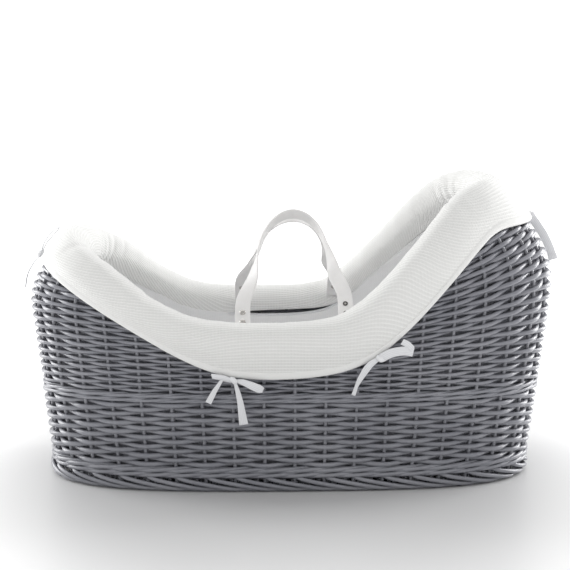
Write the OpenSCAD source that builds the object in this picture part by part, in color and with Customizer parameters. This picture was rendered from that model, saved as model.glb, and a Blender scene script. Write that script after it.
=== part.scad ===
// Moses basket: a painted willow body, a padded waffle dressing, two swing handles and a mattress.
// +X points to the head end, +Z is up, and the origin is the middle of the base at floor level.

/* [Willow body] */
// Longest outside length of the willow wall
basket_l = 786; // [772:1:800]
// Width of the base
base_w = 368; // [360:1:372]
// Width of the wall at the height of the low rim
rim_w = 398; // [394:1:402]
// Squareness of the plan outline
plan_power = 3.1; // [2.8:0.1:3.4]
// Height of the rim where the sides dip
dip_h = 219; // [215:1:223]
// Thickness of the woven wall
wall_t = 12; // [11:0.5:13]
// Number of upright stakes
stake_count = 44; // [40:2:48]
// Diameter of a stake
stake_d = 5.5; // [5:0.1:6]
// Diameter of the rim rods, wrapped as one bundle
rim_d = 15; // [14:0.5:16]
// Height of the rolled foot border
foot_h = 19; // [18:0.5:20]

/* [Dressing] */
// How far the padded roll stands above the rim
roll_rise = 26; // [24:1:28]
// How far the roll stands outside the wall
roll_out = 17; // [15:1:19]
// Thickness of the waffle cover
cover_t = 3; // [2.5:0.1:3.5]
// Thickness of the inner lining
lining_t = 4; // [3:0.5:5]
// Half of the length of each handle slot
slot_half = 100; // [98:1:104]

/* [Handles] */
// Distance between the two feet of a handle
handle_span = 150; // [146:1:154]
// Width of the strap
strap_w = 22; // [20:1:24]
// Thickness of the strap
strap_t = 3; // [2.8:0.1:3.2]
// Height of the arch above its swing axis
arch_h = 164; // [154:1:168]
// Diameter of a stud head
stud_d = 9; // [8:0.5:10]

/* [Mattress] */
// Length of the mattress
mattress_l = 664; // [650:1:668]
// Width of the mattress
mattress_w = 312; // [300:1:316]
// Thickness of the mattress
mattress_t = 40; // [35:1:42]

/* [Hidden] */

willow = [0.47, 0.48, 0.52];
cotton = [0.96, 0.96, 0.96];
hide = [0.93, 0.92, 0.91];
nickel = [0.75, 0.75, 0.76];
foam = [0.95, 0.93, 0.82];

half_l = basket_l / 2;
stations = 2 * stake_count;   // places round the wall where a section is taken
rim_r = rim_d / 2;
wale_low = [foot_h + 2, foot_h + 17];   // lower wale, from and to
wale_mid = [131, 147];                  // middle wale, from and to
gap = 0.4;                              // clearance between pieces that don't touch

// ---- outline of the willow wall ----
function smooth_max0(v, w) = (v + sqrt(v * v + w * w)) / 2;
function smooth_min(a, b, w) = (a + b - sqrt((a - b) * (a - b) + w * w)) / 2;

// Half length of the wall at height z: it flares, then curves in near the top of each end
function head_l(z) =
  half_l - 37 + 37 * pow(max(0, min(1, z / 270)), 0.85) - 0.0045 * pow(max(0, z - 290), 2);
function foot_l(z) =
  half_l - 31 + 31 * max(0, min(1, z / 260)) - 0.0071 * pow(max(0, z - 262), 2);
// Half width of the wall at height z
function half_w(z) =
  base_w / 2 + (rim_w - base_w) / 2 * min(1, max(0, z) / dip_h) - 0.0011 * pow(max(0, z - 260), 2);

// Radius of the unit superellipse at polar angle p
function unit_r(p) = pow(pow(abs(cos(p)), plan_power) + pow(abs(sin(p)), plan_power), -1 / plan_power);
function wall_pt(p, z) = [
  (cos(p) >= 0 ? head_l(z) : foot_l(z)) * unit_r(p) * cos(p),
  half_w(z) * unit_r(p) * sin(p),
  z
];
function unit(v) = v / norm(v);
function up_dir(p, z) = unit(wall_pt(p, z + 1) - wall_pt(p, z - 1));
function out_dir(p, z) = unit(cross(wall_pt(p + 0.5, z) - wall_pt(p - 0.5, z), up_dir(p, z)));
// A point off the outer face of the wall: u outwards and v up along the wall
function off_wall(p, z, u, v = 0) = wall_pt(p, z) + u * out_dir(p, z) + v * up_dir(p, z);

// ---- angles at equal steps along the wall, so that the stakes are evenly spaced ----
step_z = 190;
arc_table = [
  for (i = 0, s = 0; i <= 360; s = s + norm(wall_pt(i + 1, step_z) - wall_pt(i, step_z)), i = i + 1)
    [s, i]
];
arc_l = arc_table[360][0];
function angle_at(k) = lookup((k / stations) * arc_l, arc_table);

// ---- heights that follow the dip between head and foot ----
function dip_line(x, low, foot_knee, foot_w, foot_s, head_knee, head_w, head_s, cap) =
  low + foot_s * smooth_max0(foot_knee - x, foot_w)
  + smooth_min(head_s * smooth_max0(x - head_knee, head_w), cap, 24);
function rim_line(x) = dip_line(x, dip_h, -163, 40, 0.68, 79, 34, 1.05, 213);
function crest_line(x) = dip_line(x, dip_h + roll_rise, -155, 40, 0.68, 68, 34, 1.05, 213);
function hem_line(x) = dip_line(x, dip_h - 61, -114, 60, 0.64, 112, 70, 1.26, 225);
function settle(p, z, line, n) = n == 0 ? z : settle(p, (z + line(wall_pt(p, z)[0])) / 2, line, n - 1);
function rim_z(p) = settle(p, 260, function(x) rim_line(x), 14);
function hem_z(p) = settle(p, 240, function(x) hem_line(x), 14);
// Rise of the roll over the rim, larger where the rim slopes
function rise_at(p) = crest_line(wall_pt(p, rim_z(p))[0]) - rim_line(wall_pt(p, rim_z(p))[0]);

// How open the handle slot is at angle p, from 0 to 1
function slot_open(p) =
  abs(sin(p)) < 0.5 ? 0 : sqrt(max(0, 1 - pow((wall_pt(p, dip_h)[0] + 4) / slot_half, 2)));
// Height of the seam between the roll and the lining, measured down from the rim
seam_drop = 20;
function seam_z(p) = rim_z(p) - seam_drop;

// ---- lofts through a list of sections, each the same number of points ----
function quad(a, b, c, d) = [[a, b, c], [a, c, d]];
function flat(list) = [for (part = list) for (item = part) item];

module loft_ring(rings) {
  n = len(rings);
  m = len(rings[0]);
  polyhedron(flat(rings), flat([
    for (i = [0:n - 1]) for (j = [0:m - 1])
      let (k = (i + 1) % n, l = (j + 1) % m)
        quad(i * m + j, i * m + l, k * m + l, k * m + j)
  ]), convexity = 8);
}

module loft_tube(rings) {
  n = len(rings);
  m = len(rings[0]);
  polyhedron(flat(rings), concat(
    [[for (j = [m - 1:-1:0]) j]],
    [[for (j = [0:m - 1]) (n - 1) * m + j]],
    flat([
      for (i = [0:n - 2]) for (j = [0:m - 1])
        let (k = i + 1, l = (j + 1) % m)
          quad(i * m + j, i * m + l, k * m + l, k * m + j)
    ])
  ), convexity = 8);
}

// A ring round the wall whose section comes from a function of the angle
module wall_ring(section) {
  loft_ring([for (k = [0:stations - 1]) section(angle_at(k))]);
}

// Section of a woven band between two heights, in a number of steps, bulging by swell
function band(p, z0, z1, steps = 2, swell = 0) = let (low = z0 + gap / 2, h = z1 - z0 - gap) concat(
  [for (i = [0:steps]) off_wall(p, low + h * i / steps, swell * sin(180 * i / steps))],
  [for (i = [steps:-1:0]) off_wall(p, low + h * i / steps, -wall_t - swell * sin(180 * i / steps))]
);

// ---- willow body ----
module outline(inset, z) {
  polygon([for (k = [0:stations - 1]) let (q = off_wall(angle_at(k), z, -inset)) [q[0], q[1]]]);
}

stick_d = 6;
stick_z = 8;
stick_foot = 67;   // from the longest outline to the stick ends, at the foot and at the head
stick_head = 71;
module base_sticks() {
  color(willow) {
    for (y = [-90, -30, 30, 90])
      translate([stick_foot - half_l, y - stick_d / 2, stick_z - stick_d / 2])
        cube([basket_l - stick_foot - stick_head, stick_d, stick_d]);
  }
}

base_z = [3, 13];   // underside and top of the woven floor
module base_weave() {
  color(willow)
    translate([0, 0, base_z[0]])
      linear_extrude(base_z[1] - base_z[0]) outline(wall_t + gap, 8);
}

module foot_border() {
  color(willow)
    linear_extrude(foot_h) difference() {
      outline(-4, 6);
      outline(wall_t, 6);
    }
}

stake_sides = 6;
stake_steps = 6;
module stakes() {
  color(willow)
    for (k = [0:2:stations - 1]) {
      p = angle_at(k);
      top = rim_z(p) - rim_r;
      loft_tube([
        for (i = [0:stake_steps])
          let (z = foot_h / 2 + (top - foot_h / 2) * i / stake_steps,
               along = cross(up_dir(p, z), out_dir(p, z)))
            [for (j = [0:stake_sides - 1])
              let (t = 360 * j / stake_sides)
                off_wall(p, z, -wall_t / 2 + stake_d / 2 * cos(t)) + stake_d / 2 * sin(t) * along]
      ]);
    }
}

module lower_wale() {
  color(willow) wall_ring(function(p) band(p, wale_low[0], wale_low[1], 2, 2));
}

module lower_weave() {
  color(willow) wall_ring(function(p) band(p, wale_low[1], wale_mid[0]));
}

module middle_wale() {
  color(willow) wall_ring(function(p) band(p, wale_mid[0], wale_mid[1], 2, 2));
}

rim_gap = 4;   // space under the rim rods where the handle straps pass
module upper_weave() {
  color(willow) wall_ring(function(p) band(p, wale_mid[1], rim_z(p) - rim_d - rim_gap, 5));
}

rim_sides = 8;
function rim_at(p) = off_wall(p, rim_z(p) - rim_r, -wall_t / 2);
module rim_border() {
  color(willow) wall_ring(function(p) let (z = rim_z(p) - rim_r) [
    for (j = [0:rim_sides - 1])
      let (t = 360 * (j + 0.5) / rim_sides)
        rim_at(p) + rim_r * cos(t) * out_dir(p, z) + rim_r * sin(t) * up_dir(p, z)
  ]);
}

// ---- dressing ----
// Points over the rim share the rim's own directions; u is outwards, v is up from the rim
function over_rim(p, u, v) = let (z = rim_z(p)) wall_pt(p, z) + u * out_dir(p, z) + v * up_dir(p, z);
hang_u = 4.5;    // inner face of the roll outside the rim
inner_u = -17;   // inner face of the roll inside the rim
roll_in = 36;    // inside face of the roll, measured in from the wall
leg_lift = 9;    // how far the inner leg lifts over the middle of a handle slot
slot_dip = 4;    // how far the lining dips there
// Bottom of the inner leg of the roll: it lifts over the handle slot
function leg_v(p) = -seam_drop + leg_lift * slot_open(p);
// The roll is fuller round the foot end
function puff(p) = 1 + 0.45 * pow(max(0, -cos(p)), 3);

// Outer face of the roll from the hem, over the crest, to the inner seam
function roll_skin(p, t) = let (z0 = hem_z(p), z1 = rim_z(p), r = rise_at(p), v = leg_v(p), w = puff(p)) [
  off_wall(p, z0, 8 - t),
  off_wall(p, z0 + (z1 - z0) * 0.35, roll_out - 4 - t),
  off_wall(p, z0 + (z1 - z0) * 0.75, roll_out - t),
  over_rim(p, roll_out - 1 - t, r * 0.25),
  over_rim(p, roll_out * 0.55 - t * 0.8, r * 0.75 - t * 0.6),
  over_rim(p, -6 * w, r - t),
  over_rim(p, -18 * w, r * 0.93 - t),
  over_rim(p, -29 * w + t * 0.8, r * 0.62 - t * 0.6),
  over_rim(p, -roll_in * w + t, max(r * 0.15, v + 2)),
  over_rim(p, -roll_in * w + 4 + t, v)
];
module dressing_cover() {
  color(cotton) wall_ring(function(p) concat(
    roll_skin(p, 0),
    [for (i = [9:-1:0]) roll_skin(p, cover_t)[i]]
  ));
}

module dressing_wadding() {
  t = cover_t + 0.05;
  color(cotton) wall_ring(function(p) let (z0 = hem_z(p), z1 = rim_z(p), v = leg_v(p)) concat(
    [for (i = [1:9]) roll_skin(p, t)[i]],
    [
      over_rim(p, inner_u, v),
      over_rim(p, inner_u, max(v, -3) + 2),
      over_rim(p, -wall_t / 2 - 4, 4.5),
      over_rim(p, -2, 4.5),
      over_rim(p, hang_u, -2),
      off_wall(p, z0 + (z1 - z0) * 0.35, 3)
    ]
  ));
}

lining_gap = 2;   // from the woven wall to the lining
module lining() {
  color(cotton) wall_ring(function(p)
    let (v = -seam_drop - gap - slot_dip * slot_open(p), mid = (seam_z(p) + base_z[1]) / 2, u = -wall_t - lining_gap)
    [
      off_wall(p, base_z[1] + gap, u - lining_t), off_wall(p, base_z[1] + gap, u),
      off_wall(p, mid, u), over_rim(p, u - 5, v),
      over_rim(p, u - 5 - lining_t, v), off_wall(p, mid, u - lining_t)
    ]);
}

module hem_binding() {
  color(cotton) wall_ring(function(p) let (z = hem_z(p)) [
    off_wall(p, z - gap, 2, -4), off_wall(p, z - gap, 9.5, -4),
    off_wall(p, z - gap, 9.5, 0), off_wall(p, z - gap, 2, 0)
  ]);
}

// Bound lower lip of a handle slot
module slot_binding(side) {
  first = side > 0 ? stations / 4 : 3 * stations / 4;
  color(cotton) loft_tube([
    for (i = [-4:4])
      let (p = angle_at(first + i), v = -seam_drop - slot_dip * slot_open(p), u = -wall_t - lining_gap - 5)
        [over_rim(p, u - lining_t - 1, v), over_rim(p, u + 1, v),
         over_rim(p, u + 1, v + 3), over_rim(p, u - lining_t - 1, v + 3)]
  ]);
}

// ---- ties: a knot with a bow and two tails, cut from flat tape ----
tape_w = 10;
tape_t = 1.2;
tape_u = 12;   // how far the tapes lie from the wall
// A flat tape that follows the wall, along points that are [along, down, out]
module tape(p, z, pts) {
  o = out_dir(p, z);
  per_mm = 1 / norm(wall_pt(p + 0.5, z) - wall_pt(p - 0.5, z));
  n = len(pts);
  place = [for (q = pts) off_wall(p + q[0] * per_mm, z - q[1], tape_u + q[2])];
  loft_tube([
    for (i = [0:n - 1])
      let (run = unit(place[min(n - 1, i + 1)] - place[max(0, i - 1)]), side = unit(cross(run, o)),
           face = cross(side, run))
        [for (c = [[-1, -1], [1, -1], [1, 1], [-1, 1]])
          place[i] + c[0] * tape_w / 2 * side + c[1] * tape_t / 2 * face]
  ]);
}

module knot(p, z) {
  translate(off_wall(p, z, tape_u + 1)) sphere(d = tape_w - 1, $fn = 24);
}

function tie_z(p) = hem_z(p) - 6;
module tie(p, spread) {
  z = tie_z(p);
  color(cotton) {
    knot(p, z);
    tape(p, z, [[5.5, 0, 1], [20 * spread, -8, 4], [38 * spread, -3, 4], [44 * spread, 6, 2]]);
    tape(p, z, [[-5.5, 0, 1], [-20 * spread, 4, 3], [-36 * spread, 18, 2], [-42 * spread, 32, 1]]);
    tape(p, z, [[0, 6.5, 1], [4, 28, 2], [6, 52, 1], [4, 74, 0]]);
  }
}

near_left = 62;
near_right = 71;

module near_left_tie() { tie(angle_at(near_left), 1); }
module near_right_tie() { tie(angle_at(near_right), 1); }
module far_left_tie() { tie(angle_at(stations - near_left), 1); }
module far_right_tie() { tie(angle_at(stations - near_right), 1); }
module head_tie() { tie(angle_at(0), 0.6); }
module foot_tie() { tie(angle_at(stations / 2), 0.6); }

// ---- handles ----
// Side is -1 for the near handle and +1 for the far handle
foot_x = handle_span / 2;
rim_y = half_w(dip_h) - wall_t / 2;       // middle of the rim rods beside a handle
mouth_y = rim_y - 26;                     // where the strap leaves the slot
foot_run = 64;                            // from the slot to the swing axis, along the strap
stud_run = [36, 53];                      // the two studs, along the strap
top_y = strap_w / 2 * 0.74 + 2;           // the arch stops short of the middle of the basket
lean = asin((mouth_y - top_y) / (foot_run + arch_h));
function rim_over(x) = rim_line(x) - rim_r;
function axis_z(x) = rim_over(x) + foot_run * cos(lean);
axis_y = mouth_y - foot_run * sin(lean);
axis_mid = (axis_z(foot_x) + axis_z(-foot_x)) / 2;
axis_slope = (axis_z(foot_x) - axis_z(-foot_x)) / handle_span;
function axis_pt(x) = [x, -axis_y, axis_mid + axis_slope * x];

// The strap end as seen along X: a loop round the rim, then two layers up to the studs
loop_clear = 0.4;
module strap_end(x) {
  z = rim_over(x);
  end_gap = 5.5;   // from the doubled strap to the swing axis
  translate([x - strap_w / 2, 0, z]) rotate([90, 0, 90]) linear_extrude(strap_w) {
    difference() {
      hull() {
        translate([-rim_y, 0]) circle(r = rim_r + loop_clear + strap_t / 2, $fn = 32);
        translate([-mouth_y + 12 * sin(lean), 12 * cos(lean)]) circle(d = strap_t, $fn = 24);
      }
      hull() {
        translate([-rim_y, 0]) circle(r = rim_r + loop_clear, $fn = 32);
        translate([-mouth_y + 8 * sin(lean), 8 * cos(lean)]) circle(d = strap_t / 8, $fn = 24);
      }
    }
    translate([-mouth_y, 0]) rotate(-lean)
      translate([-strap_t / 2, 12]) square([strap_t, foot_run - 12 - end_gap]);
  }
}

module near_strap_ends() {
  color(hide) {
    strap_end(-foot_x);
    strap_end(foot_x);
  }
}

// Place children at each stud of a near handle: X along the basket, Z towards the dome.
// The domes at the left and right ends face outwards for 1 and inwards for -1
module at_studs(left, right) {
  for (end = [[-foot_x, left], [foot_x, right]], run = stud_run)
    translate([end[0], -mouth_y + run * sin(lean), rim_over(end[0]) + run * cos(lean)])
      rotate([end[1] * 90 - lean, 0, 0]) children();
}

stud_post_d = 3.2;
stud_head_h = 2.4;
back_d = 7.5;
back_t = 1;
module stud() {
  color(nickel) {
    translate([0, 0, strap_t / 2]) rotate_extrude($fn = 48) polygon([
      [0, 0], [stud_d / 2, 0], [stud_d / 2, 0.6], [stud_d / 2 - 1, 1.6], [stud_d / 4, 2.2], [0, stud_head_h]
    ]);
    translate([0, 0, -strap_t / 2 - back_t]) cylinder(d = stud_post_d, h = strap_t + back_t, $fn = 32);
  }
}

module stud_back() {
  color(nickel) translate([0, 0, -strap_t / 2 - back_t]) difference() {
    cylinder(d = back_d, h = back_t, $fn = 48);
    translate([0, 0, -1]) cylinder(d = stud_post_d, h = back_t + 2, $fn = 32);
  }
}

module near_studs() { at_studs(1, -1) stud(); }
module near_stud_backs() { at_studs(1, -1) stud_back(); }

// The arch is flat against the wall at its feet and turns edge-on before the shoulders
arch_steps = 40;
arch_lean = [0, sin(lean), cos(lean)];
arch_face = [0, cos(lean), -sin(lean)];
turn_by = 40;   // the strap is edge-on from this many degrees of the arch
function ease(v) = let (s = min(1, max(0, v))) s * s * (3 - 2 * s);
// The legs of the arch draw together above the feet
function arch_pinch(h) = 1 - 0.16 * ease(h / 0.34) + 0.06 * ease((h - 0.5) / 0.45);
function arch_pt(t, h) = axis_pt(foot_x * cos(t) * arch_pinch(sin(t))) + h * sin(t) * arch_lean;
function arch_turn(t) = 90 * ease(min(t, 180 - t) / turn_by);
module arch(h) {
  color(hide) loft_tube([
    for (i = [0:arch_steps])
      let (t = 180 * i / arch_steps,
           run = unit(arch_pt(min(180, t + 1), h) - arch_pt(max(0, t - 1), h)),
           edge = unit(cross(run, arch_face)),
           wide = cos(arch_turn(t)) * edge * (t < 90 ? 1 : -1) + sin(arch_turn(t)) * arch_face,
           thin = cross(run, wide))
        [for (c = [[-1, 1], [-1, -1], [1, -1], [1, 1]])
          arch_pt(t, h) + c[0] * strap_w / 2 * wide + c[1] * strap_t / 2 * thin]
  ]);
}

far_drop = 9;   // the far handle rests this much lower
module near_strap() { arch(arch_h); }

module far_strap_ends() { mirror([0, 1, 0]) near_strap_ends(); }
module far_studs() { mirror([0, 1, 0]) at_studs(-1, -1) stud(); }
module far_stud_backs() { mirror([0, 1, 0]) at_studs(-1, -1) stud_back(); }
module far_strap() { mirror([0, 1, 0]) arch(arch_h - far_drop); }
module near_slot_binding() { slot_binding(-1); }
module far_slot_binding() { slot_binding(1); }

// ---- mattress ----
mattress_z = base_z[1] + gap;
ticking_t = 1.5;
function mattress_pt(p, inset) =
  unit_r(p) * [(mattress_l / 2 - inset) * cos(p), (mattress_w / 2 - inset) * sin(p)];
module mattress_plan(inset) {
  polygon([for (k = [0:stations - 1]) mattress_pt(angle_at(k), inset)]);
}

module mattress_foam() {
  color(foam) translate([0, 0, mattress_z + ticking_t])
    linear_extrude(mattress_t - 2 * ticking_t) mattress_plan(ticking_t);
}

module mattress_cover() {
  color(cotton) translate([0, 0, mattress_z + ticking_t]) difference() {
    linear_extrude(mattress_t - ticking_t) mattress_plan(0);
    translate([0, 0, -1]) linear_extrude(mattress_t - 2 * ticking_t + 1) mattress_plan(ticking_t);
  }
}

module mattress_underside() {
  color(cotton) translate([0, 0, mattress_z]) linear_extrude(ticking_t) mattress_plan(0);
}

base_sticks();
base_weave();
foot_border();
stakes();
lower_wale();
lower_weave();
middle_wale();
upper_weave();
rim_border();
dressing_cover();
dressing_wadding();
lining();
hem_binding();
near_slot_binding();
far_slot_binding();
near_left_tie();
near_right_tie();
far_left_tie();
far_right_tie();
head_tie();
foot_tie();
near_strap_ends();
far_strap_ends();
near_studs();
far_studs();
near_stud_backs();
far_stud_backs();
near_strap();
far_strap();
mattress_foam();
mattress_cover();
mattress_underside();
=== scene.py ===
"""Moses basket: painted willow, waffle dressing, leatherette handles and a quilted mattress."""
import functools
import math
import random

import bmesh
import bpy
import numpy as np
from mathutils import Matrix, Vector, noise


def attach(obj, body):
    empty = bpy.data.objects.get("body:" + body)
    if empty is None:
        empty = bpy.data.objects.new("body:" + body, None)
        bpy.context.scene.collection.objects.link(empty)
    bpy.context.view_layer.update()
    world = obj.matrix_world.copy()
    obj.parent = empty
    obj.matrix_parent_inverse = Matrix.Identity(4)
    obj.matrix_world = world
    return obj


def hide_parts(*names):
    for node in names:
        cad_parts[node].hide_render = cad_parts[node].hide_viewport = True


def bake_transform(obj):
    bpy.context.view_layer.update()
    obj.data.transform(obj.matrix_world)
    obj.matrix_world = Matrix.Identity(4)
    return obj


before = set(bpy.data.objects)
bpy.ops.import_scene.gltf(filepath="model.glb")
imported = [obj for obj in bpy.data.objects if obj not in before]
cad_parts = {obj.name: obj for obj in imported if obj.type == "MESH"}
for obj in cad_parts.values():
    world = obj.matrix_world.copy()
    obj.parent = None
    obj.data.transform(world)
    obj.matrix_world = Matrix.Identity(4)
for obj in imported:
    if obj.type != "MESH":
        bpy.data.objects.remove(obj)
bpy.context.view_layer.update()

MM = 0.001
rng = random.Random(7)

# ---- the willow wall, in millimetres, with the same rules as the frame's ----
HALF_L = 393
BASE_HALF_W = 184
RIM_HALF_W = 199
PLAN_POWER = 3.1
DIP_H = 219
WALL_T = 12
STAKES = 44
STAKE_R = 2.75
RIM_R = 7.5
ROLL_RISE = 26
ROLL_OUT = 17
SEAM_DROP = 20
SLOT_HALF = 100
LEG_LIFT = 9
SLOT_DIP = 4


def head_l(z):
    flare = 37 * max(0.0, min(1.0, z / 270)) ** 0.85
    return HALF_L - 37 + flare - 0.0045 * max(0.0, z - 290) ** 2


def foot_l(z):
    return HALF_L - 31 + 31 * max(0.0, min(1.0, z / 260)) - 0.0071 * max(0.0, z - 262) ** 2


def half_w(z):
    flare = (RIM_HALF_W - BASE_HALF_W) * min(1.0, max(0.0, z) / DIP_H)
    return BASE_HALF_W + flare - 0.0011 * max(0.0, z - 260) ** 2


def wall_at(angle, z):
    """The outer face of the wall at a plan angle in radians and a height."""
    c, s = math.cos(angle), math.sin(angle)
    r = (abs(c) ** PLAN_POWER + abs(s) ** PLAN_POWER) ** (-1 / PLAN_POWER)
    return Vector(((head_l(z) if c >= 0 else foot_l(z)) * r * c, half_w(z) * r * s, z))


def even_angles(z=190, steps=1440):
    """Angles and the running length round the wall, so that stakes stand at even steps."""
    angles = np.linspace(0, 2 * math.pi, steps + 1)
    points = [wall_at(a, z) for a in angles]
    runs = np.cumsum([0.0] + [(b - a).length for a, b in zip(points, points[1:])])
    return angles, runs


ANGLES, RUNS = even_angles()


@functools.lru_cache(maxsize=None)
def angle_of(s):
    """Plan angle at s, counted in stakes from the middle of the head end."""
    turns, rest = divmod(s, STAKES)
    return float(np.interp(rest / STAKES * RUNS[-1], RUNS, ANGLES)) + 2 * math.pi * turns


def off_wall(s, z, u, v=0.0):
    """A point u outwards from the wall and v up along it, at stake position s and height z."""
    a = angle_of(s)
    up = (wall_at(a, z + 1) - wall_at(a, z - 1)).normalized()
    along = wall_at(a + 0.009, z) - wall_at(a - 0.009, z)
    return wall_at(a, z) + u * along.cross(up).normalized() + v * up


def ease(v):
    """0 below 0, 1 above 1 and smooth between."""
    v = min(1.0, max(0.0, v))
    return v * v * (3 - 2 * v)


def soft_plus(v, w):
    return (v + math.hypot(v, w)) / 2


def soft_min(a, b, w):
    return (a + b - math.hypot(a - b, w)) / 2


def dip_line(x, low, foot, head, cap):
    """Height that dips between foot and head; foot and head are (knee, roundness, slope)."""
    fall = foot[2] * soft_plus(foot[0] - x, foot[1])
    return low + fall + soft_min(head[2] * soft_plus(x - head[0], head[1]), cap, 24)


def rim_line(x):
    return dip_line(x, DIP_H, (-163, 40, 0.68), (79, 34, 1.05), 213)


def crest_line(x):
    return dip_line(x, DIP_H + ROLL_RISE, (-155, 40, 0.68), (68, 34, 1.05), 213)


def hem_line(x):
    return dip_line(x, DIP_H - 61, (-114, 60, 0.64), (112, 70, 1.26), 225)


def settle(s, z, line):
    for _ in range(14):
        z = (z + line(wall_at(angle_of(s), z).x)) / 2
    return z


@functools.lru_cache(maxsize=None)
def rim_z(s):
    return settle(s, 260, rim_line)


@functools.lru_cache(maxsize=None)
def hem_z(s):
    return settle(s, 240, hem_line)


@functools.lru_cache(maxsize=None)
def rise_at(s):
    x = wall_at(angle_of(s), rim_z(s)).x
    return crest_line(x) - rim_line(x)


@functools.lru_cache(maxsize=None)
def slot_open(s):
    """How open the handle slot is at s, from 0 to 1."""
    a = angle_of(s)
    if abs(math.sin(a)) < 0.5:
        return 0.0
    return math.sqrt(max(0.0, 1 - ((wall_at(a, DIP_H).x + 4) / SLOT_HALF) ** 2))


def over_rim(s, u, v):
    return off_wall(s, rim_z(s), u, v)


# ---- materials ----
class Value:
    """A shader socket that takes part in Python arithmetic."""

    def __init__(self, mat, socket):
        self.mat, self.socket = mat, socket

    def _math(self, operation, *values):
        return self.mat.node("ShaderNodeMath", {"operation": operation}, *values)

    def __add__(self, other):
        return self._math("ADD", self, other)

    def __sub__(self, other):
        return self._math("SUBTRACT", self, other)

    def __mul__(self, other):
        return self._math("MULTIPLY", self, other)

    def __pow__(self, other):
        return self._math("POWER", self, other)

    def sine(self):
        return self._math("SINE", self)

    def size(self):
        return self._math("ABSOLUTE", self)

    def clear_of(self, low, high):
        """0 below low, 1 above high and smooth between."""
        setting = {"interpolation_type": "SMOOTHSTEP"}
        return self.mat.node("ShaderNodeMapRange", setting, self, low, high)

    __radd__ = __add__


class Finish:
    """A material built from one Principled shader."""

    def __init__(self, name, **constants):
        self.material = bpy.data.materials.new(name)
        self.material.use_nodes = True
        self.tree = self.material.node_tree
        self.shader = self.tree.nodes["Principled BSDF"]
        for key, value in constants.items():
            self.shader.inputs[key.replace("_", " ")].default_value = value

    def node(self, kind, settings, *values, out=0, **named):
        made = self.tree.nodes.new(kind)
        for key, value in settings.items():
            setattr(made, key, value)
        for key, value in [*enumerate(values), *named.items()]:
            socket = made.inputs[key.replace("_", " ") if isinstance(key, str) else key]
            if isinstance(value, Value):
                self.tree.links.new(value.socket, socket)
            elif value is not None:
                socket.default_value = value
        return Value(self, made.outputs[out])

    def place(self, stretch=(1, 1, 1)):
        """Object coordinates in metres, stretched."""
        where = self.node("ShaderNodeTexCoord", {}, out="Object")
        return self.node("ShaderNodeMapping", {}, where, Scale=stretch)

    def cloth_place(self):
        """The cloth's own coordinates in metres, as a vector."""
        return self.node("ShaderNodeUVMap", {"uv_map": "cloth"})

    def noise(self, where, scale, detail=3.0):
        return self.node("ShaderNodeTexNoise", {}, Vector=where, Scale=scale, Detail=detail)

    def blend(self, share, first, second):
        """The first colour where share is 0 and the second where it is 1."""
        made = self.tree.nodes.new("ShaderNodeMix")
        made.data_type = "RGBA"
        self.tree.links.new(share.socket, made.inputs[0])
        made.inputs[6].default_value = (*first, 1)
        made.inputs[7].default_value = (*second, 1)
        return Value(self, made.outputs[2])

    def split(self, where):
        """The first two coordinates of a place."""
        parts = self.tree.nodes.new("ShaderNodeSeparateXYZ")
        self.tree.links.new(where.socket, parts.inputs[0])
        return Value(self, parts.outputs[0]), Value(self, parts.outputs[1])

    def bump(self, height, strength, distance):
        return self.node("ShaderNodeBump", {}, Strength=strength, Distance=distance, Height=height)

    def drive(self, **sockets):
        for key, value in sockets.items():
            self.tree.links.new(value.socket, self.shader.inputs[key.replace("_", " ")])
        return self.material


def willow_paint():
    """Grey paint brushed over peeled willow, thin and glossy, with a faint grain."""
    f = Finish("willow_paint", Coat_Weight=0.35, Coat_Roughness=0.18, Specular_IOR_Level=0.5)
    broad = f.noise(f.place(), 14, 4)
    streak = f.noise(f.place((30, 30, 260)), 4, 4)
    speck = f.noise(f.place(), 900, 2)
    tone = broad * 0.5 + streak * 0.5
    colour = f.blend(tone.clear_of(0.3, 0.7), (0.184, 0.188, 0.215), (0.286, 0.289, 0.317))
    height = streak * 0.7 + speck * 0.3
    return f.drive(Base_Color=colour, Roughness=0.26 + broad * 0.22, Normal=f.bump(height, 0.35, 0.0006))


def woven_cotton(name, cell, light, dark, strength, ribs=0.0):
    """Cotton with square cells of a given size; ribs makes the rows stronger than the columns; the pits of
    the cells take the dark colour, painted shade in the hollows of the weave.
    """
    f = Finish(name, Sheen_Weight=0.25, Sheen_Roughness=0.5, Specular_IOR_Level=0.2)
    across, down = f.split(f.cloth_place())
    turn = math.pi / cell
    column = (across * turn).sine().size()
    row = (down * turn).sine().size()
    pit = column * (1 - ribs) * row + row * ribs
    fuzz = f.noise(f.place(), 1500, 3)
    soft = f.noise(f.place(), 9, 3)
    # painted shade: the colour darkens towards the bottom of each pit, where the bump is lowest
    colour = f.blend(pit.clear_of(0.0, 0.75), light, dark)
    relief = f.bump(fuzz * 0.25 - pit, strength, cell * 0.3)
    return f.drive(Base_Color=colour, Roughness=0.82 + soft * 0.15, Normal=relief)


def leatherette():
    f = Finish("leatherette", Coat_Weight=0.08, Coat_Roughness=0.3, Specular_IOR_Level=0.45)
    edges = {"feature": "DISTANCE_TO_EDGE"}
    grain = f.node("ShaderNodeTexVoronoi", edges, Vector=f.place(), Scale=900.0).clear_of(0.0, 0.12)
    tone = f.noise(f.place(), 25, 3)
    colour = f.blend(tone.clear_of(0.3, 0.7), (0.80, 0.79, 0.78), (0.87, 0.86, 0.85))
    return f.drive(Base_Color=colour, Roughness=0.34 + tone * 0.12, Normal=f.bump(grain, 0.25, 0.0002))


def nickel(name, dark, light):
    f = Finish(name, Metallic=1.0)
    wear = f.noise(f.place(), 400, 4)
    colour = f.blend(wear.clear_of(0.35, 0.7), dark, light)
    return f.drive(Base_Color=colour, Roughness=0.12 + wear * 0.12, Normal=f.bump(wear, 0.05, 0.0002))


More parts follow.
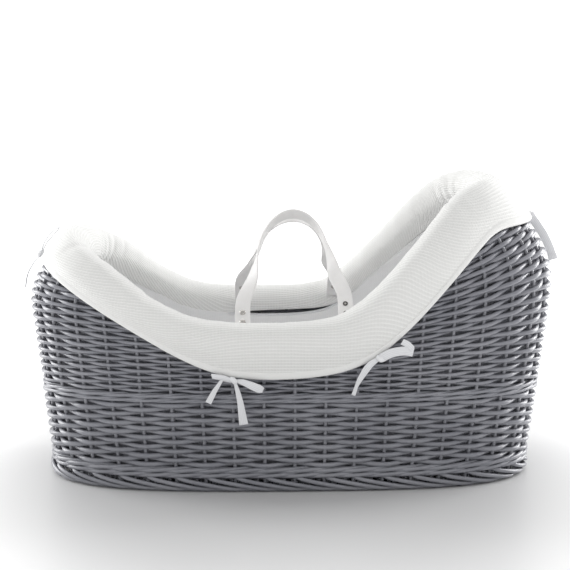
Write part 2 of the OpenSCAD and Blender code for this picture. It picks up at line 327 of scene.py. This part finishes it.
def open_foam():
    f = Finish("foam", Specular_IOR_Level=0.1)
    cells = f.node("ShaderNodeTexVoronoi", {}, Vector=f.place(), Scale=900)
    colour = f.blend(cells.clear_of(0.1, 0.9), (0.88, 0.86, 0.76), (0.72, 0.70, 0.60))
    return f.drive(Base_Color=colour, Roughness=0.85 + cells * 0.1, Normal=f.bump(cells, 0.4, 0.001))


WILLOW = willow_paint()
WAFFLE = woven_cotton("waffle_cotton", 0.0046, (0.87, 0.87, 0.855), (0.77, 0.77, 0.755), 0.45, 0.62)
# dark grey for the back of the lining, seen only through the gaps of the weave: painted shade for the depth
# of the wall behind the gaps
LINING_BACK_SHADE = woven_cotton("lining_back_painted_shade", 0.0030, (0.28, 0.28, 0.31), (0.20, 0.20, 0.23), 0.35, 0.3)
LINING = woven_cotton("lining_cotton", 0.0030, (0.90, 0.90, 0.90), (0.84, 0.84, 0.84), 0.35, 0.3)
TAPE = woven_cotton("cotton_tape", 0.0011, (0.84, 0.845, 0.86), (0.74, 0.745, 0.765), 0.30, 0.6)
BINDING = woven_cotton("binding", 0.0011, (0.88, 0.88, 0.865), (0.80, 0.80, 0.785), 0.30, 0.6)
TICKING = woven_cotton("ticking", 0.0012, (0.92, 0.92, 0.93), (0.85, 0.85, 0.87), 0.25, 0.2)
HIDE = leatherette()
NICKEL = nickel("nickel", (0.42, 0.41, 0.39), (0.60, 0.58, 0.55))
STUD_BACK = nickel("stud_back", (0.09, 0.09, 0.09), (0.16, 0.155, 0.15))
FOAM = open_foam()


# ---- making pieces ----
def finish_piece(obj, body, slot_name, material, *nodes):
    """Gives a piece its material, the nodes it replaces and the body it rides on; slot_name is not used."""
    obj.data.materials.clear()
    obj.data.materials.append(material)
    obj.data.shade_smooth()
    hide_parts(*nodes)
    if body:
        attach(obj, body)


def link_object(name, data):
    obj = bpy.data.objects.new(name, data)
    bpy.context.scene.collection.objects.link(obj)
    return obj


def rods(name, paths, resolution):
    """Round rods through lists of points; a path is (points in mm, radii in mm, closed)."""
    curve = bpy.data.curves.new(name, "CURVE")
    curve.dimensions = "3D"
    curve.bevel_depth = 1.0
    curve.bevel_resolution = resolution
    curve.use_fill_caps = True
    for points, radii, closed in paths:
        line = curve.splines.new("POLY")
        line.points.add(len(points) - 1)
        line.points.foreach_set("co", [c for p in points for c in (*(p * MM), 1.0)])
        line.points.foreach_set("radius", [r * MM for r in radii])
        line.use_cyclic_u = closed
    holder = link_object(name + "_line", curve)
    bpy.context.view_layer.update()
    solid = holder.evaluated_get(bpy.context.evaluated_depsgraph_get())
    mesh = bpy.data.meshes.new_from_object(solid)
    bpy.data.objects.remove(holder)
    bpy.data.curves.remove(curve)
    return link_object(name, mesh)


def grid(name, nu, nv, place, cloth=None, thick=0.0):
    """A square grid folded into shape: place and cloth take shares of its width and height."""
    bm = bmesh.new()
    bmesh.ops.create_grid(bm, x_segments=nu, y_segments=nv, size=0.5)
    shares = {v: (v.co.x + 0.5, v.co.y + 0.5) for v in bm.verts}
    layer = bm.loops.layers.uv.new("cloth")
    for face in bm.faces:
        for loop in face.loops:
            a, b = shares[loop.vert]
            loop[layer].uv = cloth(a, b) if cloth else (a, b)
    for v, (a, b) in shares.items():
        v.co = place(a, b) * MM
    bmesh.ops.remove_doubles(bm, verts=bm.verts, dist=1e-6)
    bmesh.ops.recalc_face_normals(bm, faces=bm.faces)
    mesh = bpy.data.meshes.new(name)
    bm.to_mesh(mesh)
    bm.free()
    obj = link_object(name, mesh)
    if thick:
        solid = obj.modifiers.new("thickness", "SOLIDIFY")
        solid.thickness = thick * MM
        solid.offset = 0
    return obj


def bend(points, t, closed=False):
    """Point at share t along a smooth line through the points."""
    n = len(points)
    x = (t % 1.0) * n if closed else min(max(t, 0.0), 1.0) * (n - 1)
    i = min(int(x), n - 1 if closed else n - 2)
    f = x - i
    if closed:
        a, b, c, d = (points[(i + k) % n] for k in (-1, 0, 1, 2))
    else:
        b, c = points[i], points[i + 1]
        a = points[i - 1] if i > 0 else b * 2 - c
        d = points[i + 2] if i + 2 < n else c * 2 - b
    return ((b * 2) + (c - a) * f + (a * 2 - b * 5 + c * 4 - d) * f ** 2
            + (b * 3 - a - c * 3 + d) * f ** 3) * 0.5


def ribbon(name, points, side_of, width, thick, steps):
    """A flat strip of closed section along a smooth line; side_of gives the way its width lies."""
    upper = ((-0.5, 0.25), (-0.46, 0.5), (0, 0.5), (0.46, 0.5), (0.5, 0.25))
    corner = [Vector(c) for c in upper] + [Vector((x, -y)) for x, y in reversed(upper)]
    n = len(corner)
    widths = width if isinstance(width, tuple) else (width, width)
    broad = functools.partial(np.interp, xp=np.linspace(0, 1, len(widths)), fp=widths)

    def place(a, b):
        here = bend(points, a)
        run = (bend(points, min(1, a + 0.01)) - bend(points, max(0, a - 0.01))).normalized()
        side = side_of(run).normalized()
        face = side.cross(run)
        c = corner[round(b * n) % n]
        return here + side * c.x * broad(a) + face * c.y * thick

    length = sum((bend(points, (i + 1) / 50) - bend(points, i / 50)).length for i in range(50)) * MM
    return grid(name, steps, n, place, lambda a, b: (a * length, b * 2 * max(widths) * MM)), length


def close_ends(obj):
    """Caps the open ends of a piece."""
    bm = bmesh.new()
    bm.from_mesh(obj.data)
    bmesh.ops.holes_fill(bm, edges=[e for e in bm.edges if e.is_boundary], sides=0)
    bmesh.ops.recalc_face_normals(bm, faces=bm.faces)
    bm.to_mesh(obj.data)
    bm.free()


# ---- willow work ----
LOWER_WALE = (21, 36)
MIDDLE_WALE = (131, 147)
STEPS = 6   # points of a rod between two stakes
SPAN = STAKES * STEPS
LOWER_ROWS = 14
UPPER_ROWS = 36
FINE_PITCH = 4.6
# how fast the upper rows open out: at the wale, and for each mm above it
HEAD_FAN = (0.45, 0.0030)
FOOT_FAN = (0.22, 0.0010)


def jitter(s, row, amount):
    """A slow wander that differs from row to row and meets itself after one turn."""
    a = 2 * math.pi * s / STAKES
    return amount * noise.noise(Vector((math.cos(a) * 5, math.sin(a) * 5, row * 3.7)))


def weave_point(s, z, phase, radius):
    """A point of a rod that goes in and out of the stakes by turns."""
    swing = (STAKE_R + min(radius, 3.2)) * 0.88 * math.cos(math.pi * (s + phase))
    return off_wall(s, z, -WALL_T / 2 + swing)


def lower_rows():
    """Coarse randing, in rows that go all the way round."""
    pitch = (MIDDLE_WALE[0] - LOWER_WALE[1]) / LOWER_ROWS
    radius = pitch * 0.515
    paths = []
    for k in range(LOWER_ROWS):
        z = LOWER_WALE[1] + pitch * (k + 0.5)
        places = [i / STEPS for i in range(SPAN)]
        points = [weave_point(s, z + jitter(s, k, 1.3), k, radius) for s in places]
        paths.append((points, [radius * (1 + jitter(s, k + 40, 0.16)) for s in places], True))
    return paths


def fan_height(s, reach):
    """Height of an upper row, from its height above the middle wale at the dip, and its spread."""
    z = MIDDLE_WALE[1] + reach
    for _ in range(4):
        x = wall_at(angle_of(s), z).x
        start, grow = HEAD_FAN if x > 0 else FOOT_FAN
        share = (max(0.0, abs(x) - 60) / 333) ** 1.8
        z = MIDDLE_WALE[1] + reach * (1 + share * (start + grow * reach))
    return z, 1 + share * (start + 2 * grow * reach)


def upper_rows():
    """Finer randing; a row that meets the rim stops there and starts again beyond the dip."""
    paths = []
    for k in range(UPPER_ROWS):
        reach = FINE_PITCH * (k + 0.5)
        points, radii, inside = [], [], []
        for i in range(SPAN):
            s = i / STEPS
            z, spread = fan_height(s, reach)
            radius = 0.49 * min(FINE_PITCH * spread, 7.6)
            points.append(weave_point(s, z + jitter(s, k + 80, 1.2 * spread), k, radius))
            radii.append(radius * (1 + jitter(s, k + 120, 0.16)))
            inside.append(z < rim_z(s) - RIM_R * 2)
        if all(inside):
            paths.append((points, radii, True))
            continue
        starts = [i for i in range(SPAN) if inside[i] and not inside[i - 1]]
        for first in starts:
            run = [first]
            while inside[(run[-1] + 1) % SPAN]:
                run.append((run[-1] + 1) % SPAN)
            if len(run) > STEPS:
                paths.append(([points[i] for i in run], [radii[i] for i in run], False))
    return paths


def wale(z, height, radius, turn):
    """Three rods that each pass outside two stakes and inside one, one stake apart."""
    paths = []
    beats = 3 * round(STAKES / 3) / STAKES   # a whole number of strokes to the turn
    reach = STAKE_R + radius
    middle = -WALL_T / 2 + (radius - 2.5) * 1.5
    for rod in range(3):
        points = []
        for i in range(SPAN):
            s = i / STEPS
            beat = (s * beats + rod + turn) % 3
            if beat < 2:
                u, rise = math.sin(math.pi * beat / 2), beat / 2
            else:
                u, rise = -math.sin(math.pi * (beat - 2)) * 0.9, 3 - beat
            points.append(off_wall(s, z + (ease(rise) - 0.5) * height, middle + reach * 0.9 * u))
        paths.append((points, [radius] * SPAN, True))
    return paths


def stake_paths():
    """Uprights from the floor to the rim, a little thinner at the top."""
    steps, foot = 24, 8
    paths = []
    for k in range(STAKES):
        top = rim_z(k) - RIM_R
        points = [off_wall(k, foot + (top - foot) * i / steps, -WALL_T / 2) for i in range(steps + 1)]
        paths.append((points, [STAKE_R * (1.04 - 0.10 * i / steps) for i in range(steps + 1)], False))
    return paths


def foot_paths():
    """The rolled border: each stake end comes down, runs on outside and tucks under the next ones."""
    paths = []
    for k in range(STAKES):
        lean = rng.uniform(-0.06, 0.06)
        line = [(0.0, 21, -4), (0.25, 18.5, 1.5), (0.7, 14.5, 3.4), (1.3, 9.5, 3.2),
                (1.9, 5.0, 1.0), (2.4, 3.4, -4), (2.8, 3.2, -9)]
        knots = [off_wall(k + s + lean, z, u) for s, z, u in line]
        points = [bend(knots, i / 20) for i in range(21)]
        paths.append((points, [3.1] * 21, False))
    for ring in (0, 1):
        points = [off_wall(i / STEPS, 3.1, -3.5 - 6.0 * ring) for i in range(SPAN)]
        paths.append((points, [3.0] * SPAN, True))
    return paths


def rim_paths():
    """Rods twisted together along the rim."""
    paths = []
    for rod in range(4):
        points = []
        for i in range(SPAN):
            s = i / STEPS
            a = 2 * math.pi * (s / 4 + rod / 4)
            out, up = 3.9 * math.cos(a), 3.9 * math.sin(a)
            points.append(off_wall(s, rim_z(s) - RIM_R, -WALL_T / 2 + out, up))
        paths.append((points, [3.6] * SPAN, True))
    return paths


def floor_paths():
    """Rods of the woven floor, over and under base sticks that lie 60 mm apart, the first at -90 mm."""
    paths = []
    floor_z, half_length, pitch, steps = 8, 345, 6.4, 36
    inset = WALL_T + 2
    for k in range(int(2 * half_length / pitch)):
        x = -half_length + pitch * (k + 0.5)
        half = (head_l(floor_z) if x > 0 else foot_l(floor_z)) - inset
        side = half_w(floor_z) - inset
        reach = side * max(0.0, 1 - abs(x / half) ** PLAN_POWER) ** (1 / PLAN_POWER)
        if reach < 12:
            continue
        points = []
        for i in range(steps + 1):
            y = -reach + 2 * reach * i / steps
            wave = math.cos(math.pi * ((y + 90) / 60 + k))
            points.append(Vector((x, y, floor_z + 3.0 * wave)))
        paths.append((points, [2.9] * len(points), False))
    return paths


def willow_work():
    made = [
        ("lower_weave_rods", lower_rows(), 2, "lower_weave"),
        ("upper_weave_rods", upper_rows(), 1, "upper_weave"),
        ("stake_rods", stake_paths(), 2, "stakes"),
        ("lower_wale_rods", wale(24.6, 4.2, 3.2, 0) + wale(31.8, 4.2, 3.2, 1), 2, "lower_wale"),
        ("middle_wale_rods", wale(135.5, 3.4, 2.5, 0) + wale(142.0, 3.4, 2.5, 1), 2, "middle_wale"),
        ("foot_border_rods", foot_paths(), 2, "foot_border"),
        ("rim_rods", rim_paths(), 2, "rim_border"),
        ("floor_rods", floor_paths(), 1, "base_weave"),
    ]
    for name, paths, resolution, node in made:
        finish_piece(rods(name, paths, resolution), "basket", "willow", WILLOW, node)


# ---- dressing ----
def roll_creases():
    """Folds across the padded roll: (place, width, depth, slant, start, end)."""
    folds = []
    for corner, spread in ((18.9, 0.42), (25.1, -0.42), (3.4, 0.5), (40.6, -0.5)):
        for k in range(4):
            folds.append((corner + spread * (k - 1.5) * 1.2, rng.uniform(0.10, 0.17), rng.uniform(2.8, 5.2),
                          rng.uniform(-1.2, 1.2), 0.28 + 0.03 * k, 0.68))
    for corner in (42.3, 1.7, 20.6, 23.4):
        for k in range(3):
            folds.append((corner + 0.4 * k, rng.uniform(0.09, 0.13), rng.uniform(1.8, 3.0),
                          rng.uniform(-0.8, 0.8), -0.05, 0.22 + 0.05 * k))
    for _ in range(26):
        start = rng.uniform(0.0, 0.25)
        folds.append((rng.uniform(0, STAKES), rng.uniform(0.10, 0.22), rng.uniform(0.5, 1.7),
                      rng.uniform(-1.5, 1.5), start, start + rng.uniform(0.2, 0.45)))
    return folds


FOLDS = roll_creases()


def crease(s, t):
    """Soft unevenness of the padded roll, in millimetres."""
    a = 2 * math.pi * s / STAKES
    where = Vector((math.cos(a) * 4, math.sin(a) * 4, t * 2.5))
    fine = Vector((math.cos(a) * 13, math.sin(a) * 13, t * 5.0))
    depth = 2.2 * noise.noise(where) + 1.1 * noise.noise(fine)
    for place, width, deep, slant, start, end in FOLDS:
        off = (s - place - slant * (t - 0.4) + STAKES / 2) % STAKES - STAKES / 2
        if abs(off) < 4 * width and start < t < end:
            window = math.sin(math.pi * (t - start) / (end - start))
            puffed, drawn = math.exp(-(off / width / 2) ** 2), math.exp(-(off / width) ** 2)
            depth += deep * window * (0.45 * puffed - drawn)
    return depth


@functools.lru_cache(maxsize=None)
def roll_section(s):
    """Closed section of the padded roll at s: outside from the hem, over the rim and back."""
    z0, z1, r = hem_z(s), rim_z(s), rise_at(s)
    v = -SEAM_DROP + LEG_LIFT * slot_open(s)
    w = 1 + 0.45 * max(0.0, -math.cos(angle_of(s))) ** 3
    return [
        off_wall(s, z0, 7), off_wall(s, z0 + (z1 - z0) * 0.35, ROLL_OUT - 4),
        off_wall(s, z0 + (z1 - z0) * 0.75, ROLL_OUT), over_rim(s, ROLL_OUT - 1, r * 0.25),
        over_rim(s, ROLL_OUT * 0.55, r * 0.75), over_rim(s, -6 * w, r), over_rim(s, -18 * w, r * 0.93),
        over_rim(s, -29 * w, r * 0.62), over_rim(s, -36 * w, max(r * 0.15, v + 2)),
        over_rim(s, 5 - 36 * w, v), over_rim(s, -21, v - 0.5),
        over_rim(s, -17, max(v, -3) + 2), over_rim(s, -10, 4.5),
        over_rim(s, -2, 4.5), over_rim(s, 4.5, -2), off_wall(s, z0 + (z1 - z0) * 0.35, 3),
        off_wall(s, z0 - 1, 2),
    ]


def padded_roll():
    """The stuffed cover of waffle cotton, over the rim and down the outside to the hem."""
    girth = 0.315

    def place(a, b):
        s = a * STAKES
        point = bend(roll_section(s), b, closed=True)
        middle = over_rim(s, -8, 0)
        outer = max(0.0, math.sin(math.pi * min(1.0, b / 0.56)))
        return point + (point - middle).normalized() * crease(s, b) * outer

    def cloth(a, b):
        """Keeps the rows of the waffle level on the outside of the roll."""
        return a * RUNS[-1] * MM, b * girth + hem_z(a * STAKES) * MM

    obj = grid("padded_roll", STAKES * 14, 64, place, cloth)
    finish_piece(obj, "basket", "waffle_cotton", WAFFLE, "dressing_cover", "dressing_wadding")


def inner_lining():
    """The inside wall of cloth, gathered a little under the roll and lying on the floor."""
    foot, height, girth = 13.5, 0.24, 2.1

    def place(a, b):
        s = a * STAKES
        gate = slot_open(s)
        top = rim_z(s) - SEAM_DROP - SLOT_DIP * gate + 1
        z = foot + (top - foot) * b
        fold = math.sin(2 * math.pi * s * 1.6 + 2.0 * noise.noise(Vector((s * 0.7, 0, 3))))
        depth = 1.4 * fold * math.sin(math.pi * min(1, b * 1.1)) + 2.5 * crease(s, b * 0.7) * b * (1 - b)
        lean = 16 * b ** 6 * (1 - 0.6 * gate)
        return off_wall(s, z, -WALL_T - 4.5 - lean - max(-2.0, depth))

    obj = grid("inner_lining", STAKES * 8, 30, place, lambda a, b: (a * girth, b * height), thick=1.6)
    obj.data.flip_normals()
    finish_piece(obj, "basket", "lining_cotton", LINING, "lining")
    # the outer face of the lining gets the dark grey: painted shade where the gaps of the weave look into
    # shadow
    obj.data.materials.append(LINING_BACK_SHADE)
    obj.modifiers["thickness"].material_offset = 1


def hem_tape():
    """The folded tape along the lower edge of the dressing; its section is out from the wall and up."""
    section = ((2, -3.6), (7, -4.2), (9.6, -2), (10.3, 2), (10.2, 6), (8.4, 7.4), (4, 5), (2, 2))
    shape = [Vector(c) for c in section]

    def place(a, b):
        s = a * STAKES
        c = bend(shape, b, closed=True)
        return off_wall(s, hem_z(s), c.x, c.y)

    obj = grid("hem_tape", STAKES * 8, 12, place, lambda a, b: (a * 2.2, b * 0.02))
    finish_piece(obj, "basket", "cotton_tape", BINDING, "hem_binding")


def slot_lips():
    """A round bound edge under each handle slot."""
    for side, middle in (("near", 33), ("far", 11)):
        path = []
        for i in range(61):
            s = middle + (i - 30) / 14
            z = rim_z(s) - SEAM_DROP - SLOT_DIP * slot_open(s) + 1.5
            path.append(off_wall(s, z, -WALL_T - 4.5 - 16 * (1 - 0.6 * slot_open(s))))
        obj = rods(side + "_slot_lip", [(path, [2.0] * len(path), False)], 2)
        layers = obj.data.uv_layers
        layer = layers[0] if layers else layers.new()
        layer.name = "cloth"
        finish_piece(obj, "basket", "cotton_tape", TAPE, side + "_slot_binding")


# ---- ties ----
TAPE_W = 10


def tie(name, s, lines, node):
    """A knot, its loops and its tails.

    Each line is how its width lies, its width, and its points as (along, down, out) in mm.
    """
    z = hem_z(s) - 6
    step = RUNS[-1] / STAKES

    def spot(along, down, out):
        return off_wall(s + along / step, z - down, 12 + out)

    out = (spot(0, 0, 10) - spot(0, 0, 0)).normalized()
    pieces, length = [], 0
    for i, (across, width, line) in enumerate(lines):
        if across == "flat":
            side_of = lambda run: run.cross(out)
        elif across == "upright":
            side_of = lambda run: out - run * run.dot(out)
        else:
            fixed = spot(*across, 0) - spot(0, 0, 0)
            side_of = lambda run, fixed=fixed: fixed
        strip, run_length = ribbon(f"{name}_{i}", [spot(*p) for p in line], side_of, width, 1.1, 32)
        close_ends(strip)
        pieces.append(strip)
        length += run_length * np.mean(width) / TAPE_W
    middle = [spot(-4, -3, 1.5), spot(-1, -1, 3.5), spot(2, 2, 3.5), spot(4, 4, 1.5)]
    knot = rods(name + "_knot", [(middle, [2.2, 4.2, 4.2, 2.2], False)], 2)
    body = pieces[0]
    with bpy.context.temp_override(active_object=body, selected_editable_objects=[*pieces, knot]):
        bpy.ops.object.join()
    body.name = name
    finish_piece(body, "basket", "cotton_tape", TAPE, node)


BOW = [
    ((-0.33, 0.94), (3, 8, 11, 12, 7, 12, 11, 8, 3),
     [(2, 1, 2), (13, 2, 5), (25, 7, 7), (36, 12, 6), (42, 14.5, 3.5),
      (36, 13, 1.5), (24, 8, 0.8), (11, 3, 0.8), (2, 1, 1)]),
    ((0.2, 0.98), 7,
     [(-3, 0, 2), (-13, -4, 4), (-24, -6, 5), (-30, -6, 3.5), (-25, -4, 1.5), (-13, -1, 1), (-3, 1, 1)]),
    ("flat", (4, 7, 9, 11, 13), [(2, 3, 2), (6, 18, 3), (9, 34, 2), (11, 50, 2), (13, 66, 1.5)]),
    ("flat", (4, 6, 8, 9), [(-15, -2, 2), (-21, 7, 3), (-27, 16, 2.5), (-32, 25, 2), (-37, 34, 2)]),
]
LOOSE = [
    ("flat", 13, [(2, 0, 2), (14, -7, 3), (27, -10, 3), (38, -10, 2.5), (47, -8, 2)]),
    ("flat", 9, [(30, -23, 4), (38, -19, 3.5), (45, -13, 3)]),
    ("flat", (6, 9, 10, 8, 5, 6), [(-2, 1, 2), (-13, 9, 3), (-22, 22, 3), (-30, 38, 2), (-35, 54, 2)]),
]
HANGING = [
    ("upright", 13, [(-4, -2, -1), (-5, 14, -1), (-6, 30, 0), (-6, 48, 1), (-6, 64, 2)]),
    ("upright", 14, [(-6.5, 57, 1.6), (-6.5, 60, 1.8), (-6.5, 64, 2)]),
    ("flat", 9, [(2, 1, 1), (6, 12, 3), (10, 28, 3), (12, 42, 2)]),
]
UPRIGHT = [
    ((1, 0), 9,
     [(0, -2, 4), (1, -12, 10), (1, -24, 13), (0, -31, 11), (-1, -26, 8.5), (-1, -14, 7), (0, -3, 3)]),
    ((1, 0), 9, [(-3, 1, 1), (-5, 14, 4), (-6, 30, 5), (-7, 46, 4)]),
]


def ties():
    """Every tie, at its place round the basket counted in stakes from the middle of the head."""
    for name, s, lines in (("near_left_tie", 31.05, BOW), ("near_right_tie", 35.6, LOOSE),
                           ("far_left_tie", 12.95, BOW), ("far_right_tie", 8.4, LOOSE),
                           ("head_tie", 0.0, HANGING), ("foot_tie", 22.0, UPRIGHT)):
        tie(name + "_tape", s, lines, name)


# ---- handles ----
FOOT_X = 75
STRAP_W = 22
STRAP_T = 3
ARCH_H = 164
FAR_DROP = 9    # the far handle rests this much lower
FOOT_RUN = 64   # from the slot to the swing axis, along the strap
TURN_BY = 40    # degrees of the arch within which the strap turns edge-on
RIM_Y = RIM_HALF_W - WALL_T / 2
MOUTH_Y = RIM_Y - 26
TOP_Y = STRAP_W / 2 * 0.74 + 2
LEAN = math.asin((MOUTH_Y - TOP_Y) / (FOOT_RUN + ARCH_H))
UP_STRAP = Vector((0, math.sin(LEAN), math.cos(LEAN)))
STRAP_FACE = Vector((0, math.cos(LEAN), -math.sin(LEAN)))
AXIS_Y = MOUTH_Y - FOOT_RUN * math.sin(LEAN)


def foot_top(x):
    """The swing axis over a foot, on the near side."""
    return Vector((x, -AXIS_Y, rim_line(x) - RIM_R + FOOT_RUN * math.cos(LEAN)))


def arch_pinch(h):
    """How much the legs of the arch draw together at a share of its height."""
    return 1 - 0.16 * ease(h / 0.34) + 0.06 * ease((h - 0.5) / 0.45)


def strap_path(height):
    """Centre line of the near strap, and how far it is turned edge-on, from one slot to the other."""
    left, right = foot_top(-FOOT_X), foot_top(FOOT_X)
    points, faces = [], []
    below = FOOT_RUN - 10

    def leg(top, order, sign):
        for run in order:
            points.append(top - UP_STRAP * run)
            faces.append((0.0, sign))

    steps = 8
    leg(left, [below * (1 - i / steps) for i in range(steps)], 1)
    arch = 48
    for i in range(arch + 1):
        a = math.pi * (1 - i / arch)
        share = (1 + math.cos(a)) / 2
        share = 0.5 + (share - 0.5) * arch_pinch(math.sin(a))
        base = left.lerp(right, share)
        points.append(base + UP_STRAP * height * math.sin(a))
        turn = ease(min(i, arch - i) / arch * 180 / TURN_BY)
        faces.append((turn * math.pi / 2, 1 if i < arch / 2 else -1))
    leg(right, [below * i / steps for i in range(1, steps + 1)], -1)
    return points, faces


def mirrored(v, side):
    """A near-side point for side -1, or the same point on the far side for 1."""
    return Vector((v.x, v.y * -side, v.z))


def strap(side):
    """One handle strap of soft leatherette, twisted edge-on over the top."""
    points, faces = strap_path(ARCH_H if side < 0 else ARCH_H - FAR_DROP)
    n = len(points)
    count = 24
    outline = []
    for k in range(count):
        a = 2 * math.pi * k / count
        cx, cy = math.cos(a), math.sin(a)
        x = math.copysign(abs(cx) ** 0.25, cx) * STRAP_W / 2
        y = math.copysign(abs(cy) ** 0.55, cy) * STRAP_T / 2
        outline.append((x, y))

    def place(a, b):
        i = min(n - 1, round(a * (n - 1)))
        run = (points[min(n - 1, i + 1)] - points[max(0, i - 1)]).normalized()
        edge = run.cross(STRAP_FACE).normalized()
        turn, sign = faces[i]
        wide = edge * math.cos(turn) * sign + STRAP_FACE * math.sin(turn)
        thin = run.cross(wide)
        x, y = outline[round(b * count) % count]
        return mirrored(points[i] + wide * x + thin * y, side)

    obj = grid(("near" if side < 0 else "far") + "_handle_strap", n - 1, count, place,
               lambda a, b: (a * 0.56, b * 0.06))
    close_ends(obj)
    return obj


def handles():
    """Both straps, each bent from its fixed ends into its arch."""
    for name, side in (("near", -1), ("far", 1)):
        obj = strap(side)
        finish_piece(obj, None, "leatherette", HIDE, name + "_strap", name + "_strap_ends")
        axis = foot_top(-FOOT_X).lerp(foot_top(FOOT_X), 0.5)
        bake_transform(obj)


# ---- mattress ----
MATTRESS_L = 664
MATTRESS_W = 312
MATTRESS_T = 40
MATTRESS_Z = 13.4


def mattress():
    """A quilted pad; its rings run from the middle of the underside round to the middle of the top."""
    under, edge = 0.15, 0.32   # shares of the rings at which the side starts and ends
    quilt_step = 46

    def place(a, b):
        angle = 2 * math.pi * a
        c, s = math.cos(angle), math.sin(angle)
        r = (abs(c) ** PLAN_POWER + abs(s) ** PLAN_POWER) ** (-1 / PLAN_POWER)
        if b < under:
            reach, z = b / under * 0.98, 0.0
        elif b < edge:
            turn = math.pi * (b - under) / (edge - under)
            reach, z = 0.98 + 0.02 * math.sin(turn) ** 0.2, (1 - math.cos(turn)) / 2
        else:
            reach, z = (1 - b) / (1 - edge) * 0.98, 1.0
        x, y = MATTRESS_L / 2 * reach * r * c, MATTRESS_W / 2 * reach * r * s
        top = MATTRESS_Z + MATTRESS_T * z - (1.0 if z > 0.99 else 0)
        if b >= edge:
            rise = math.sin((x + y) * math.pi / quilt_step) * math.sin((x - y) * math.pi / quilt_step)
            top += 4.0 * abs(rise) ** 0.4 * min(1, (1 - reach) * 6)
        return Vector((x, y, top))

    obj = grid("quilted_mattress", 180, 90, place, lambda a, b: (a * 1.7, b * 0.4))
    finish_piece(obj, "mattress", "ticking", TICKING, "mattress_cover", "mattress_underside")


# ---- the frame's own nodes that stay in sight ----
def paint_frame():
    keep = {
        "base_sticks": WILLOW, "near_studs": NICKEL, "far_studs": NICKEL, "near_stud_backs": STUD_BACK,
        "far_stud_backs": STUD_BACK, "mattress_foam": FOAM,
    }
    for name, material in keep.items():
        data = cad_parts[name].data
        data.materials.clear()
        data.materials.append(material)


# ---- studio ----
def pale_floor():
    """A pale floor with a painted glow that brightens it away from the basket until it meets the white
    behind.
    """
    floor = grid("studio_floor", 2, 2, lambda a, b: Vector(((a - 0.5) * 24000, (b - 0.3) * 24000, 0)))
    f = Finish("studio_floor", Specular_IOR_Level=0.4)
    haze = f.noise(f.place(), 2.0, 2)
    x, y = f.split(f.place())
    y = y - 0.1
    # painted light: an emission that rises away from the basket whitens the far floor and leaves the floor
    # near the basket darker
    away = ((x * x * 2.1 + y * y * 0.56) ** 0.5).clear_of(0.40, 1.1)
    painted_glow = f.blend(away, (0, 0, 0), (0.7, 0.7, 0.7))
    pale = f.blend(haze.clear_of(0.2, 0.8), (0.655, 0.655, 0.655), (0.68, 0.68, 0.68))
    f.shader.inputs["Emission Strength"].default_value = 1.0
    floor.data.materials.append(f.drive(Roughness=0.28 + haze * 0.1, Emission_Color=painted_glow, Base_Color=pale))


def white_room():
    """Even light from all round, with a brighter white where the camera sees it."""
    world = bpy.data.worlds.new("studio")
    bpy.context.scene.world = world
    world.use_nodes = True
    back = world.node_tree.nodes["Background"]
    back.inputs[0].default_value = (1, 1, 1, 1)
    back.inputs[1].default_value = 0.77
    bright = world.node_tree.nodes.new("ShaderNodeBackground")
    bright.inputs[0].default_value = (1, 1, 1, 1)
    bright.inputs[1].default_value = 1.3
    seen = world.node_tree.nodes.new("ShaderNodeLightPath")
    mix = world.node_tree.nodes.new("ShaderNodeMixShader")
    final = world.node_tree.nodes["World Output"]
    for a, b in ((seen.outputs["Is Camera Ray"], mix.inputs[0]), (back.outputs[0], mix.inputs[1]),
                 (bright.outputs[0], mix.inputs[2]), (mix.outputs[0], final.inputs[0])):
        world.node_tree.links.new(a, b)
    bpy.context.scene.view_settings.view_transform = "Standard"


def soft_boxes():
    """Lamps beside and behind the basket, all aimed at its middle."""
    aim = Vector((0, 0, 0.2))
    for name, spot, width, height, power in (
        ("left_box", (-2.0, 0.9, 0.9), 1.2, 1.6, 35),
        ("right_box", (2.0, 0.9, 0.9), 1.2, 1.6, 39),
        ("top_box", (0.0, 1.6, 2.4), 2.4, 1.6, 15),
    ):
        lamp = bpy.data.lights.new(name, "AREA")
        lamp.shape = "RECTANGLE"
        lamp.size, lamp.size_y, lamp.energy = width, height, power
        obj = link_object(name, lamp)
        turned = (aim - Vector(spot)).to_track_quat("-Z", "Y").to_matrix().to_4x4()
        obj.matrix_world = Matrix.Translation(spot) @ turned


def camera():
    view = bpy.data.cameras.new("studio_view")
    view.lens, view.sensor_width = 99.4, 36
    holder = link_object("studio_view", view)
    holder.location = (-0.0854, -2.400, 0.623)
    holder.rotation_euler = (math.pi / 2 - 0.1434, 0, -0.0318)
    bpy.context.scene.camera = holder


pale_floor()
white_room()
soft_boxes()
camera()
willow_work()
padded_roll()
inner_lining()
hem_tape()
slot_lips()
ties()
handles()
mattress()
paint_frame()
